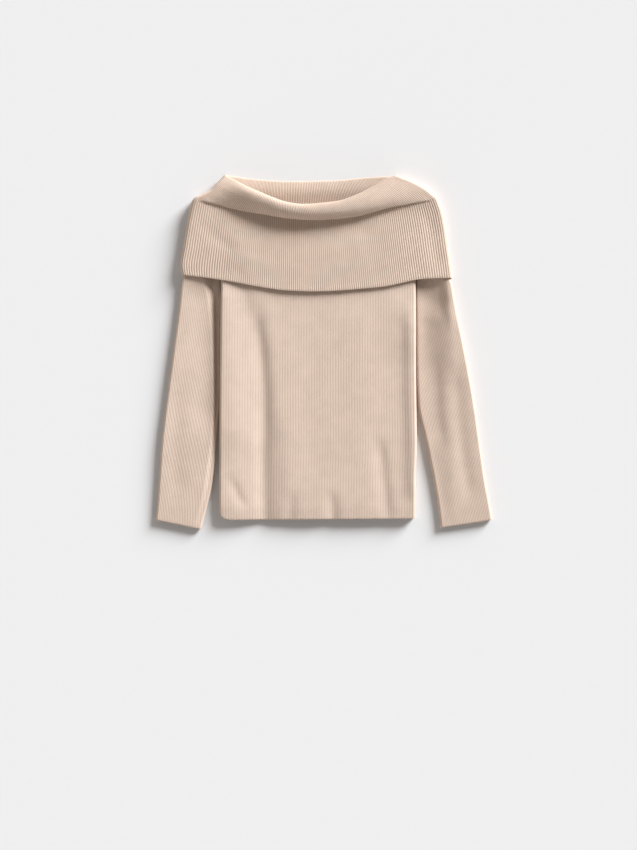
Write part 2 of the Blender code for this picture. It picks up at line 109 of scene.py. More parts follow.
def mix(start: Array, end: Array, share: Array) -> Array:
    """Value a share of the way from start to end."""
    return start + (end - start) * share


def cubic(start: Array, end: Array, start_rise: Array, end_rise: Array, t: Array) -> Array:
    """Cubic curve between two values, with its rise over the whole span at each end.

    Args:
        start: Value at the start.
        end: Value at the end.
        start_rise: Slope at the start times the span.
        end_rise: Slope at the end times the span.
        t: Places from 0 to 1.

    Returns:
        The curve's values there.
    """
    return (
        start * (1 + 2 * t) * (1 - t) ** 2
        + end * t * t * (3 - 2 * t)
        + start_rise * t * (1 - t) ** 2
        - end_rise * t * t * (1 - t)
    )


def hermite(knots: Array, values: Array, slopes: Array, at: Array) -> Array:
    """Cubic curve through knots with given slopes.

    Args:
        knots: Rising places of the knots.
        values: Value at each knot.
        slopes: Slope at each knot.
        at: Places to read.

    Returns:
        The curve's values there.
    """
    held = np.clip(at, knots[0], knots[-1])
    index = np.clip(np.searchsorted(knots, held, side="right") - 1, 0, len(knots) - 2)
    span = knots[index + 1] - knots[index]
    t = (held - knots[index]) / span
    rises = slopes[index] * span, slopes[index + 1] * span
    return cubic(values[index], values[index + 1], *rises, t)


def smooth_value(knots: Sequence[float], values: Sequence[float], at: Array) -> Array:
    """Smooth curve through knots that never swings past them.

    Args:
        knots: Rising places of the knots.
        values: Value at each knot.
        at: Places to read.

    Returns:
        The curve's values there.
    """
    x, y = np.asarray(knots, float), np.asarray(values, float)
    steps = np.diff(y) / np.diff(x)
    slopes = np.zeros_like(y)
    before, after = steps[:-1], steps[1:]
    turning = before * after <= 0
    total = np.where(turning, 1.0, before + after)
    slopes[1:-1] = np.where(turning, 0.0, 2 * before * after / total)
    slopes[0], slopes[-1] = steps[0], steps[-1]
    return hermite(x, y, slopes, at)


class Outline:
    """Line seen from above, on a smooth curve through a few points."""

    def __init__(self, *points: tuple[float, float]) -> None:
        """Keep the points and work out the curve's slopes.

        Args:
            points: Places (x, y) from left to right.
        """
        self.x = np.array([point[0] for point in points], float)
        self.y = np.array([point[1] for point in points], float)
        before = np.maximum(np.arange(len(points)) - 1, 0)
        after = np.minimum(np.arange(len(points)) + 1, len(points) - 1)
        self.slopes = (self.y[after] - self.y[before]) / (self.x[after] - self.x[before])

    def at(self, fraction: Array) -> Array:
        """Points at fractions of the outline's width, as rows of x and y."""
        x = mix(self.x[0], self.x[-1], fraction)
        return np.stack([x, hermite(self.x, self.y, self.slopes, x)], -1)


@dataclass(frozen=True)
class Crease:
    """Soft trough or ridge along a line on a panel.

    The path is a few points from its upper to its lower end. The height is above 0 for a
    ridge and below 0 for a trough, the two sides may be of different width, and both ends
    die away over the fade.
    """

    path: tuple[tuple[float, float], ...]
    height: float
    left_width: float
    right_width: float
    fade: float

    def lift(self, x: Array, y: Array) -> Array:
        """Height that the crease adds.

        Args:
            x: Places across.
            y: Places up the garment.

        Returns:
            Height in millimetres at each place.
        """
        points = sorted(self.path, key=lambda point: point[1])
        knots = [point[1] for point in points]
        centre = smooth_value(knots, [point[0] for point in points], y)
        window = ease((y - knots[0]) / self.fade + 0.5) * ease((knots[-1] - y) / self.fade + 0.5)
        width = np.where(x < centre, self.left_width, self.right_width)
        return self.height * window * np.exp(-(((x - centre) / width) ** 2))


def creased(creases: Sequence[Crease], x: Array, y: Array) -> Array:
    """Height that several creases add together at each place."""
    return sum((crease.lift(x, y) for crease in creases), np.zeros_like(x))


@dataclass(frozen=True)
class Rib:
    """Rib knit's relief: wide round crests with narrow grooves between them."""

    relief: float
    roundness: float = 0.8

    def height(self, number: Array) -> Array:
        """Height of the face at a rib number, whole on a crest and a half in a groove."""
        return self.relief * (2 * np.abs(np.cos(np.pi * number)) ** self.roundness - 1)


class Across(NamedTuple):
    """Places across half of a flattened tube: distance from its start edge, and lift."""

    inset: Array
    lift: Array


def across(
    fraction: Array,
    width: Array,
    reach: float,
    share: float,
    start_cut: Array | float = 0.0,
    end_cut: Array | float = 0.0,
) -> Across:
    """Spread a flattened tube's half over its width, with quarter rounds at its sides.

    Args:
        fraction: Places from 0 to 1.
        width: Width of the tube where it lies.
        reach: How far in the rounds reach.
        share: Share of the cloth's width in each round.
        start_cut: How much of the start's round an armhole removes, 0 to 1.
        end_cut: The same for the end.

    Returns:
        Insets in millimetres, and lifts from 0 at the side's height to 1 on the flat.
    """
    start_share, end_share = share * (1 - start_cut), share * (1 - end_cut)
    quarter = np.pi / 2
    start_inset, end_inset = reach * np.cos(quarter * start_cut), reach * np.cos(quarter * end_cut)
    safe_start, safe_end = np.maximum(start_share, TINY), np.maximum(end_share, TINY)
    start_angle = quarter * mix(start_cut, 1.0, np.clip(fraction / safe_start, 0, 1))
    end_angle = quarter * mix(end_cut, 1.0, np.clip((1 - fraction) / safe_end, 0, 1))
    flat = (fraction - start_share) / (1 - start_share - end_share)
    in_start, in_end = fraction < start_share, fraction > 1 - end_share
    inset = np.where(
        in_start,
        start_inset - reach * np.cos(start_angle),
        np.where(
            in_end,
            width - end_inset + reach * np.cos(end_angle),
            mix(start_inset, width - end_inset, flat),
        ),
    )
    lift = np.where(in_start, np.sin(start_angle), np.where(in_end, np.sin(end_angle), 1.0))
    return Across(inset, lift)


@dataclass
class Line:
    """Line of vertices in a shell: their indices, their knit map places and their order."""

    index: Array
    knit: Array
    key: Array


class Shell:
    """Closed wall of cloth on a grid of points at the wall's middle.

    The face that shows has every point of the grid and its ribs, rolls round the two ends and
    is zipped to a plainer face on the other side.
    """

    END_ANGLES = (35.0, 75.0, 115.0, 150.0)

    def __init__(
        self,
        middle: Array,
        relief: Array,
        knit: Array,
        ring: bool,
        inner_steps: tuple[int, int],
        facing: int = 1,
    ) -> None:
        """Build the wall's points and faces.

        Args:
            middle: Grid of points, rows by columns by 3, in millimetres.
            relief: Grid of the shown face's height over the plain wall.
            knit: Grid of knit map places, with one more column on a ring.
            ring: Whether the last column meets the first.
            inner_steps: Rows and columns of the grid from one point of the plain face to the next.
            facing: 1 where the shown face is on the side of across turned to along, or -1.
        """
        self.points: list[Array] = []
        self.count = 0
        self.quads: list[Array] = []
        self.quad_knit: list[Array] = []
        self.triangles: list[tuple[int, int, int]] = []
        self.triangle_knit: list[tuple[Array, Array, Array]] = []
        self.ring = ring
        normal, along = self.directions(middle, ring)
        normal = normal * facing
        half = WALL / 2
        face = middle + normal * (half + relief)[..., None]
        outer = [self.add(row, place) for row, place in zip(face, knit)]
        for end, outward in ((0, -1.0), (-1, 1.0)):
            rolled = []
            for angle in np.radians(self.END_ANGLES):
                reach = half + relief[end] * max(math.cos(angle), 0.0)
                out = normal[end] * (math.cos(angle) * reach)[:, None]
                past = along[end] * (math.sin(angle) * half * outward)
                rolled.append(self.add(middle[end] + out + past, knit[end]))
            outer = rolled[::-1] + outer if end == 0 else outer + rolled
        rows, columns = inner_steps
        plain = middle[::rows, ::columns] - normal[::rows, ::columns] * half
        inner = [self.add(row, place) for row, place in zip(plain, knit[::rows, ::columns])]
        self.fill(outer)
        self.fill(inner)
        self.zip(outer[0], inner[0])
        self.zip(outer[-1], inner[-1])
        if not ring:
            self.close_sides(outer, inner, rows)

    @staticmethod
    def directions(middle: Array, ring: bool) -> tuple[Array, Array]:
        """Unit normals and unit directions up the rows, at each point of a grid.

        Args:
            middle: Grid of points.
            ring: Whether the last column meets the first.

        Returns:
            Two grids of vectors.
        """
        if ring:
            wide = np.concatenate([middle[:, -2:], middle, middle[:, :2]], 1)
            side = np.gradient(wide, axis=1)[:, 2:-2]
        else:
            side = np.gradient(middle, axis=1)
        along = np.gradient(middle, axis=0)
        normal = np.cross(side, along)
        normal /= np.maximum(np.linalg.norm(normal, axis=-1, keepdims=True), TINY)
        along /= np.maximum(np.linalg.norm(along, axis=-1, keepdims=True), TINY)
        return normal, along

    def add(self, points: Array, knit: Array) -> Line:
        """Add a row of vertices.

        Args:
            points: Places in millimetres.
            knit: Knit map places, one more than the points on a ring.

        Returns:
            The line, which on a ring ends in its own first vertex.
        """
        index = np.arange(self.count, self.count + len(points))
        self.points.append(points)
        self.count += len(points)
        if self.ring:
            index = np.append(index, index[0])
        return Line(index, knit, np.linspace(0.0, 1.0, len(index)))

    def fill(self, lines: Sequence[Line]) -> None:
        """Fill between lines of equal length with quads.

        Args:
            lines: Lines of vertices, each next to the one before.
        """
        for low, high in zip(lines, lines[1:]):
            a, b, c, d = low.index[:-1], low.index[1:], high.index[1:], high.index[:-1]
            self.quads.append(np.stack([a, b, c, d], -1))
            corners = low.knit[:-1], low.knit[1:], high.knit[1:], high.knit[:-1]
            self.quad_knit.append(np.stack(corners, 1))

    def zip(self, first: Line, second: Line) -> None:
        """Join two lines of different length with triangles, in the order of their keys.

        Args:
            first: One line.
            second: The line across the gap.
        """
        i, j = 0, 0
        last_i, last_j = len(first.index) - 1, len(second.index) - 1
        while i < last_i or j < last_j:
            if j == last_j or (i < last_i and first.key[i + 1] <= second.key[j + 1] + TINY):
                self.triangle(first, i, first, i + 1, second, j)
                i += 1
            else:
                self.triangle(first, i, second, j + 1, second, j)
                j += 1

    def triangle(self, a: Line, i: int, b: Line, j: int, c: Line, k: int) -> None:
        """Add one triangle between vertices of three lines, each given by its place."""
        self.triangles.append((int(a.index[i]), int(b.index[j]), int(c.index[k])))
        self.triangle_knit.append((a.knit[i], b.knit[j], c.knit[k]))

    def close_sides(self, outer: Sequence[Line], inner: Sequence[Line], rows: int) -> None:
        """Close the two side edges of a sheet between its faces.

        Args:
            outer: Lines of the face that shows, with its rolled ends.
            inner: Lines of the plain face.
            rows: Rows of the grid from one line of the plain face to the next.
        """
        rolled = len(self.END_ANGLES)
        full = len(outer) - 2 * rolled
        keys = np.clip(np.arange(len(outer)) - rolled, 0, full - 1).astype(float)
        for end in (0, -1):
            lines = []
            for stack, key in ((outer, keys), (inner, np.arange(len(inner)) * float(rows))):
                index = np.array([line.index[end] for line in stack])
                lines.append(Line(index, np.array([line.knit[end] for line in stack]), key))
            self.zip(*lines)

    def make(self, name: str, finish: RibKnit) -> bpy.types.Object:
        """Make the piece, dress it and let it ride on the root body.

        Args:
            name: Name of the piece.
            finish: Finish that it takes.

        Returns:
            The new object.
        """
        points = np.concatenate(self.points) * MM
        quads = np.concatenate(self.quads)
        faces = quads.tolist() + self.triangles
        mesh = bpy.data.meshes.new(name)
        mesh.from_pydata(points.tolist(), [], faces)
        layer = mesh.uv_layers.new(name=KNIT_MAP)
        on_quads = np.concatenate(self.quad_knit).reshape(-1, 2)
        on_triangles = np.array(self.triangle_knit).reshape(-1, 2)
        loops = np.concatenate([on_quads, on_triangles])
        layer.data.foreach_set("uv", loops.astype(np.float32).ravel())
        work = bmesh.new()
        work.from_mesh(mesh)
        bmesh.ops.recalc_face_normals(work, faces=work.faces)
        work.to_mesh(mesh)
        work.free()
        mesh.shade_smooth()
        mesh.materials.append(finish.material())
        piece = bpy.data.objects.new(name, mesh)
        bpy.context.scene.collection.objects.link(piece)
        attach(piece, "root")
        return piece


def dial(node: bpy.types.Node, values: dict[str, float | tuple[float, ...]]) -> None:
    """Set inputs of a node by name."""
    for name, value in values.items():
        node.inputs[name].default_value = value


def step_node(
    tree: bpy.types.NodeTree,
    value: Socket,
    places: tuple[float, float],
    results: tuple[float, float],
) -> Socket:
    """Add a node with a smooth step from one result to another.

    Args:
        tree: Node tree that it goes into.
        value: Socket with the place along the step.
        places: Where the step starts and ends.
        results: Results at both ends.

    Returns:
        Socket with the result.
    """
    node = tree.nodes.new("ShaderNodeMapRange")
    node.interpolation_type = "SMOOTHSTEP"
    names = ("From Min", "From Max", "To Min", "To Max")
    dial(node, dict(zip(names, (*places, *results))))
    tree.links.new(value, node.inputs["Value"])
    return node.outputs["Result"]


@dataclass(frozen=True)
class RibKnit:
    """Finish of one ribbed piece: matt, fuzzy sand-coloured yarn in fine columns of stitches.

    The knit map has rib numbers across and stitch rows along. The three noises are given in
    cells to the metre. The groove colour is painted shade, mixed in towards each groove's middle.
    """

    name: str
    crest: Colour = (0.605, 0.485, 0.403)
    # Painted shade colour for the grooves between the ribs.
    groove_shade_colour: Colour = (0.38, 0.275, 0.205)
    groove_shade_start: float = 0.26
    groove_shade_strength: float = 0.46
    mottle: float = 0.09
    cloud_noise: float = 45.0
    yarn_noise: float = 760.0
    fuzz_noise: float = 2600.0
    stitch_slant: float = 1.6
    stitch_parting: float = 12.0
    stitch_relief: float = 0.35
    fuzz_relief: float = 0.25
    bump_strength: float = 0.6
    bump_height: float = 0.6 * MM
    roughness: float = 0.95
    specular: float = 0.15
    sheen: float = 0.04
    sheen_roughness: float = 0.5
    sheen_tint: Colour = (1.0, 0.93, 0.85)

    def material(self) -> bpy.types.Material:
        """Build the finish.

        Returns:
            The new material.
        """
        made = bpy.data.materials.new(self.name)
        made.use_nodes = True
        tree = made.node_tree
        shader = tree.nodes["Principled BSDF"]
        settings = {
            "Roughness": self.roughness,
            "Specular IOR Level": self.specular,
            "Sheen Weight": self.sheen,
            "Sheen Roughness": self.sheen_roughness,
            "Sheen Tint": (*self.sheen_tint, 1.0),
        }
        dial(shader, settings)
        sums = Sums(tree)
        rib, row = self.places(tree)
        past_groove = sums("FRACT", sums("ADD", rib, 0.5))
        from_crest = sums("ABSOLUTE", sums("SUBTRACT", past_groove, 0.5))
        tree.links.new(self.colour(tree, sums, from_crest), shader.inputs["Base Color"])
        tree.links.new(self.bump(tree, sums, from_crest, row), shader.inputs["Normal"])
        return made

    def places(self, tree: bpy.types.NodeTree) -> tuple[Socket, Socket]:
        """Read the knit map.

        Args:
            tree: Node tree of the material.

        Returns:
            Sockets with the rib number and the stitch row.
        """
        knit = tree.nodes.new("ShaderNodeUVMap")
        knit.uv_map = KNIT_MAP
        split = tree.nodes.new("ShaderNodeSeparateXYZ")
        tree.links.new(knit.outputs["UV"], split.inputs["Vector"])
        return split.outputs["X"], split.outputs["Y"]

    def noise(self, tree: bpy.types.NodeTree, scale: float, detail: float) -> Socket:
        """Add noise over the object's own space.

        Args:
            tree: Node tree of the material.
            scale: Cells to the metre.
            detail: Finer layers of noise.

        Returns:
            Socket with the noise.
        """
        space = tree.nodes.new("ShaderNodeTexCoord")
        noise = tree.nodes.new("ShaderNodeTexNoise")
        dial(noise, {"Scale": scale, "Detail": detail})
        tree.links.new(space.outputs["Object"], noise.inputs["Vector"])
        return noise.outputs["Fac"]

    def colour(self, tree: bpy.types.NodeTree, sums: Sums, from_crest: Socket) -> Socket:
        """Colour: painted shade in the grooves, slightly mottled by the yarn.

        Args:
            tree: Node tree of the material.
            sums: Builder of arithmetic nodes.
            from_crest: Distance from the rib's crest, 0 to a half.

        Returns:
            Socket with the colour.
        """
        # Painted shade: the groove colour is mixed in towards the middle of each groove.
        into = step_node(tree, from_crest, (self.groove_shade_start, 0.5), (0.0, self.groove_shade_strength))
        yarn = tree.nodes.new("ShaderNodeMix")
        yarn.data_type = "RGBA"
        tree.links.new(into, yarn.inputs["Factor"])
        dial(yarn, {"A": (*self.crest, 1.0), "B": (*self.groove_shade_colour, 1.0)})
        clouds = self.noise(tree, self.cloud_noise, 2.0)
        uneven = sums("ADD", clouds, self.noise(tree, self.yarn_noise, 1.0))
        swing = sums("MULTIPLY", sums("SUBTRACT", uneven, 1.0), self.mottle * 2)
        level = sums("ADD", swing, 1.0)
        shade = tree.nodes.new("ShaderNodeVectorMath")
        shade.operation = "SCALE"
        tree.links.new(yarn.outputs["Result"], shade.inputs["Vector"])
        tree.links.new(level, shade.inputs["Scale"])
        return shade.outputs["Vector"]

    def bump(
        self, tree: bpy.types.NodeTree, sums: Sums, from_crest: Socket, row: Socket
    ) -> Socket:
        """Fine relief: a column of small v-shaped stitches on each rib, and loose fibres.

        Args:
            tree: Node tree of the material.
            sums: Builder of arithmetic nodes.
            from_crest: Distance from the rib's crest, 0 to a half.
            row: Stitch row.

        Returns:
            Socket with the normal.
        """
        phase = sums("ADD", row, sums("MULTIPLY", from_crest, self.stitch_slant))
        loop = sums("ABSOLUTE", sums("SINE", sums("MULTIPLY", phase, math.pi)))
        parting = sums("MINIMUM", sums("MULTIPLY", from_crest, self.stitch_parting), 1.0)
        stitch = sums("MULTIPLY", sums("MULTIPLY", loop, parting), self.stitch_relief)
        fuzz = sums("MULTIPLY", self.noise(tree, self.fuzz_noise, 3.0), self.fuzz_relief)
        bump = tree.nodes.new("ShaderNodeBump")
        dial(bump, {"Strength": self.bump_strength, "Distance": self.bump_height})
        tree.links.new(sums("ADD", stitch, fuzz), bump.inputs["Height"])
        return bump.outputs["Normal"]


class Sums:
    """Builder of arithmetic nodes in one material."""

    def __init__(self, tree: bpy.types.NodeTree) -> None:
        """Keep the node tree."""
        self.tree = tree

    def __call__(self, operation: str, *values: Socket | float) -> Socket:
        """Add one node.

        Args:
            operation: Blender's name of the sum.
            values: Sockets or numbers that it works on.

        Returns:
            Socket with the result.
        """
        node = self.tree.nodes.new("ShaderNodeMath")
        node.operation = operation
        for slot, value in zip(node.inputs, values):
            if isinstance(value, Socket):
                self.tree.links.new(value, slot)
            else:
                slot.default_value = value
        return node.outputs["Value"]


def underside(y: Array) -> Array:
    """Rise of the back's cloth where it lies on the turned-over collar."""
    return COLLAR_STEP * ease((y - STEP_START) / (STEP_END - STEP_START))


def table(kind: type[NamedTuple], *rows: tuple[object, ...]) -> tuple[NamedTuple, ...]:
    """Rows of one kind, each from its numbers in the order of the kind's fields."""
    return tuple(kind(*row) for row in rows)


class BodyRow(NamedTuple):
    """Section across the body: its side edges, crown height and armhole cut (0 to 1)."""

    y: float
    left: float
    right: float
    crown: float
    cut: float


def read_rows(rows: Sequence[NamedTuple], y: Array) -> NamedTuple:
    """Rows of a table read at any y, as one row of arrays.

    Args:
        rows: Rows whose first column is y.
        y: Places up the garment.

    Returns:
        A row whose columns are arrays.
    """
    ordered = sorted(rows, key=lambda row: row[0])
    knots = [row[0] for row in ordered]
    columns = list(zip(*ordered))[1:]
    return type(ordered[0])(y, *(smooth_value(knots, column, y) for column in columns))


@dataclass
class Body:
    """Front and back panels, joined at the side seams and open at hem, neck and armholes.

    A corner of the hem is given by its radius and its rise. A grid is given by its columns to
    the rib and its rows.
    """

    ribs: int = 76
    relief: float = 0.13
    # How strongly painted shade darkens the grooves.
    groove_shade_strength: float = 0.34
    side: float = 3.6
    side_share: float = 0.028
    hem_fade: float = 60.0
    left_corner: tuple[float, float] = (19.0, 14.0)
    right_corner: tuple[float, float] = (4.0, 2.0)
    hem_tilt: float = 2.6
    front_grid: tuple[int, int] = (6, 145)
    back_grid: tuple[int, int] = (4, 97)
    rows_to_plain: int = 4
    rows: tuple[BodyRow, ...] = table(
        BodyRow,
        # y, left, right, crown, cut
        (-302, -187.6, 163.8, 14.0, 0),
        (-278, -188.1, 164.0, 15.6, 0),
        (-230, -188.0, 164.3, 16.0, 0),
        (-165, -187.3, 166.4, 16.0, 0),
        (-90, -187.1, 165.4, 16.0, 0),
        (0, -186.2, 164.5, 16.0, 0),
        (98, -185.2, 164.5, 15.6, 0),
        (118, -184.6, 164.5, 15.2, 0),
        (138, -184.5, 164.5, 14.4, 0),
        (149, -182.0, 162.0, 14.2, 0.5),
        (160, -178.0, 158.0, SEAM_TOP, 1),
        (176, -168.0, 148.0, SEAM_TOP, 1),
    )
    creases: tuple[Crease, ...] = (
        # The raised left part and the long troughs beside it.
        Crease(((-174, 130), (-174, 20), (-170, -170)), 4.2, 60, 56, 70),
        Crease(
            ((-148, 128), (-136, 30), (-128, -60), (-124, -160), (-120, -345)), -3.2, 28, 18, 50
        ),
        Crease(
            ((-120, 60), (-113, 0), (-107, -90), (-109, -180), (-104, -345)), -4.4, 14, 13, 110
        ),
        Crease(((-98, -120), (-86, -345)), -2.6, 16, 20, 90),
        # The ridge along the right side.
        Crease(((156, 70), (157, 0), (158, -90), (161, -190), (162, -262)), 3.8, 13, 40, 60),
        Crease(((154, 92), (156, 50), (156, 0)), 1.8, 44, 40, 50),
        # Short folds over the hem.
        Crease(((100, -165), (104, -200), (114, -300)), -2.2, 15, 11, 44),
        Crease(((14, -262), (19, -345)), -2.2, 13, 11, 40),
        Crease(((-168, -228), (-158, -252), (-146, -276)), -1.3, 12, 10, 34),
        Crease(((-58, -262), (-64, -345)), -1.6, 11, 12, 40),
        # Broad, faint waves in the middle.
        Crease(((-20, 60), (-26, -120), (-18, -240)), -0.9, 30, 34, 90),
        Crease(((62, 70), (70, -60), (58, -200)), 0.9, 30, 30, 80),
    )

    def middle(self, panel: Panel, fraction: Array, y: Array) -> Array:
        """Middle of a panel's wall.

        Args:
            panel: Front or back.
            fraction: Fractions of the width, from left to right.
            y: Places up the body.

        Returns:
            Points in millimetres.
        """
        row = read_rows(self.rows, y)
        width = row.right - row.left
        place = across(fraction, width, self.side, self.side_share, row.cut, row.cut)
        x = row.left + place.inset
        under = underside(y) + FLOOR_LAYER
        crown = row.crown + creased(self.creases, x, y)
        front = panel is Panel.FRONT
        end, parting = (crown, SEAM_GAP / 2) if front else (under, -SEAM_GAP / 2)
        z = mix((under + crown) / 2, end, place.lift) + parting * (1 - place.lift)
        return np.stack([x, y + self.hem_shift(x, y, row), z], -1)

    def hem_shift(self, x: Array, y: Array, row: BodyRow) -> Array:
        """How far the cloth near the hem moves up: a tilt to the right and round corners.

        Args:
            x: Places across.
            y: Places up the body.
            row: The body's section there.

        Returns:
            Shift in millimetres.
        """
        near = ease((self.rows[0].y + self.hem_fade - y) / self.hem_fade)
        lift = self.hem_tilt * (x - row.left) / (row.right - row.left)
        for inset, (radius, rise) in (
            (x - row.left, self.left_corner),
            (row.right - x, self.right_corner),
        ):
            from_side = np.clip(inset / radius, 0, 1)
            lift = lift + rise * (1 - np.sqrt(1 - (1 - from_side) ** 2))
        return near * lift

    def build(self, panel: Panel) -> bpy.types.Object:
        """Make one panel as a shell of cloth.

        Args:
            panel: Front or back.

        Returns:
            The new object.
        """
        per_rib, rows = self.front_grid if panel is Panel.FRONT else self.back_grid
        fraction = np.linspace(0, 1, self.ribs * per_rib + 1)
        heights = np.linspace(self.rows[0].y, self.rows[-1].y, rows)
        f, y = np.meshgrid(fraction, heights)
        knit = np.stack([f * self.ribs, y / STITCH_LENGTH], -1)
        shell = Shell(
            middle=self.middle(panel, f, y),
            relief=Rib(self.relief).height(knit[..., 0]),
            knit=knit,
            ring=False,
            inner_steps=(self.rows_to_plain, per_rib),
        )
        finish = RibKnit(f"{panel.value}_knit", groove_shade_strength=self.groove_shade_strength)
        piece = shell.make(f"{panel.value}_cloth", finish)
        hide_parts(panel.value)
        return piece


class SleeveRow(NamedTuple):
    """Section across a sleeve, whose inner side may be tucked down beside the body.

    The crown is the height of its middle and the tuck the height of its inner side, which
    rises to the crown over the tuck's reach. The cut is the armhole's, from 0 to 1.
    """

    y: float
    outer_x: float
    inner_x: float
    inner_y: float
    crown: float
    tuck: float
    tuck_reach: float
    cut: float


@dataclass
class Sleeve:
    """Sleeve: one panel rolled into a flat tube, its ribs slanting across the top.

    The twist is how many ribs the slant carries over an edge from armhole to cuff.
    """

    side_of_body: Side
    rows: tuple[SleeveRow, ...]
    creases: tuple[Crease, ...]
    twist: float
    ribs: int = 20
    relief: float = 0.22
    relief_fade: float = 0.02
    side: float = 3.2
    side_share: float = 0.09
    tuck_start: float = 0.42
    per_rib: int = 6
    columns_under: int = 24
    row_count: int = 193
    plain_steps: tuple[int, int] = (4, 3)

    def middle(self, around: Array, y: Array) -> Array:
        """Middle of the wall: 0 to 1 over the top from inner to outer edge, 2 back under.

        Args:
            around: Places round the tube.
            y: Places up the sleeve, at its outer edge.

        Returns:
            Points in millimetres.
        """
        row = read_rows(self.rows, y)
        top = around <= 1.0
        fraction = np.where(top, around, 2.0 - around)
        inner = np.stack([row.inner_x, row.inner_y], -1)
        outer = np.stack([row.outer_x, y], -1)
        width = np.linalg.norm(outer - inner, axis=-1)
        place = across(fraction, width, self.side, self.side_share, row.cut)
        point = inner + (outer - inner) * (place.inset / width)[..., None]
        under = underside(y) + FLOOR_LAYER
        from_inner = (place.inset / row.tuck_reach - self.tuck_start) / (1 - self.tuck_start)
        crown = mix(row.tuck, row.crown, ease(from_inner))
        crown = crown + creased(self.creases, point[..., 0], point[..., 1]) * place.lift
        side = (under + np.where(fraction < 0.5, row.tuck, row.crown)) / 2
        end = np.where(top, crown, under)
        return np.concatenate([point, mix(side, end, place.lift)[..., None]], -1)

    def build(self) -> bpy.types.Object:
        """Make the sleeve as a shell of cloth.

        Returns:
            The new object.
        """
        over = np.linspace(0, 1, self.ribs * self.per_rib + 1)
        back_under = np.linspace(1, 2, self.columns_under + 1)[1:-1]
        around = np.concatenate([over, back_under])
        heights = np.linspace(self.rows[-1].y, self.rows[0].y, self.row_count)
        a, y = np.meshgrid(around, heights)
        length = self.rows[0].y - self.rows[-1].y
        whole = np.append(around, 2.0)
        turns, places = np.meshgrid(whole, heights)
        number = self.ribs * turns + self.twist * (self.rows[0].y - places) / length
        knit = np.stack([number, places / STITCH_LENGTH], -1)
        shown = ease((1.0 - a) / self.relief_fade + 1.0) * ease(a / self.relief_fade)
        shell = Shell(
            middle=self.middle(a, y),
            relief=Rib(self.relief).height(number[:, :-1]) * shown,
            knit=knit,
            ring=True,
            inner_steps=self.plain_steps,
            facing=-1 if self.side_of_body is Side.LEFT else 1,
        )
        name = self.side_of_body.value
        piece = shell.make(f"{name}_cloth", RibKnit(f"{name}_knit"))
        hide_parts(name, f"{name}_forearm")
        return piece


LEFT_SLEEVE = Sleeve(
    side_of_body=Side.LEFT,
    twist=27.0,
    relief=0.15,
    tuck_start=0.25,
    rows=table(
        SleeveRow,
        # y, outer_x, inner_x, inner_y, crown, tuck, tuck_reach, cut
        (176, -245.0, -168.5, 176, 14, 14, 20, 1),
        (160, -247.5, -178.6, 160, 14, 14, 20, 1),
        (149, -249.0, -184.9, 149, 14, 9.5, 18, 0.5),
        (138, -251.4, -187.0, 138, 13.8, 6.0, 32, 0),
        (118, -256.6, -187.6, 118, 13.5, 4.4, 30, 0),
        (98, -258.3, -188.0, 98, 13.2, 4.0, 24, 0),
        (0, -271.0, -189.0, 0, 13.0, 4.6, 15, 0),
        (-90, -283.0, -190.0, -90, 13.0, 6.2, 12, 0),
        (-165, -292.0, -195.0, -165, 12.5, 8.4, 11, 0),
        (-230, -296.6, -202.0, -234, 11.5, 9, 14, 0),
        (-275, -299.9, -213.0, -284, 10.5, 9, 14, 0),
        (-302, -302.4, -222.3, -318.7, 9.5, 9, 14, 0),
    ),
    creases=(
        Crease(((-206, 130), (-206, 20), (-209, -130)), -3.4, 42, 30, 70),
        Crease(((-262, -60), (-268, -170), (-266, -260)), -1.2, 15, 17, 60),
    ),
)

RIGHT_SLEEVE = Sleeve(
    side_of_body=Side.RIGHT,
    twist=48.0,
    tuck_start=0.15,
    rows=table(
        SleeveRow,
        # y, outer_x, inner_x, inner_y, crown, tuck, tuck_reach, cut
        (176, 218.0, 148.5, 176, 14, 14, 50, 1),
        (160, 219.5, 158.6, 160, 14, 14, 50, 1),
        (149, 221.8, 164.9, 149, 14.4, 10, 50, 0.5),
        (138, 224.4, 168.0, 138, 15.2, 7, 52, 0),
        (118, 231.0, 168.0, 118, 16.8, 5, 56, 0),
        (98, 233.8, 168.0, 98, 17.6, 4.6, 58, 0),
        (0, 253.5, 168.0, 0, 17.4, 6.6, 68, 0),
        (-90, 269.8, 170.6, -90, 14.8, 9.4, 68, 0),
        (-165, 280.5, 186.2, -167, 13, 9.6, 52, 0),
        (-230, 289.8, 199.4, -234, 11.5, 9, 34, 0),
        (-275, 298.0, 207.6, -284, 10.5, 9, 30, 0),
        (-302, 302.4, 211.0, -316, 9.5, 9, 30, 0),
    ),
    creases=(
        Crease(((205, 136), (207, 108), (208, 76)), -5.6, 24, 13, 42),
        Crease(((222, 124), (225, 92), (230, 50)), 1.8, 9, 12, 40),
        Crease(((202, -20), (204, -90), (212, -160)), -1.4, 16, 10, 60),
        Crease(((236, -40), (246, -150), (262, -260)), -1.8, 14, 14, 60),
        Crease(((246, 40), (256, -20), (281, -165), (296, -290)), 1.6, 60, 40, 60),
    ),
)


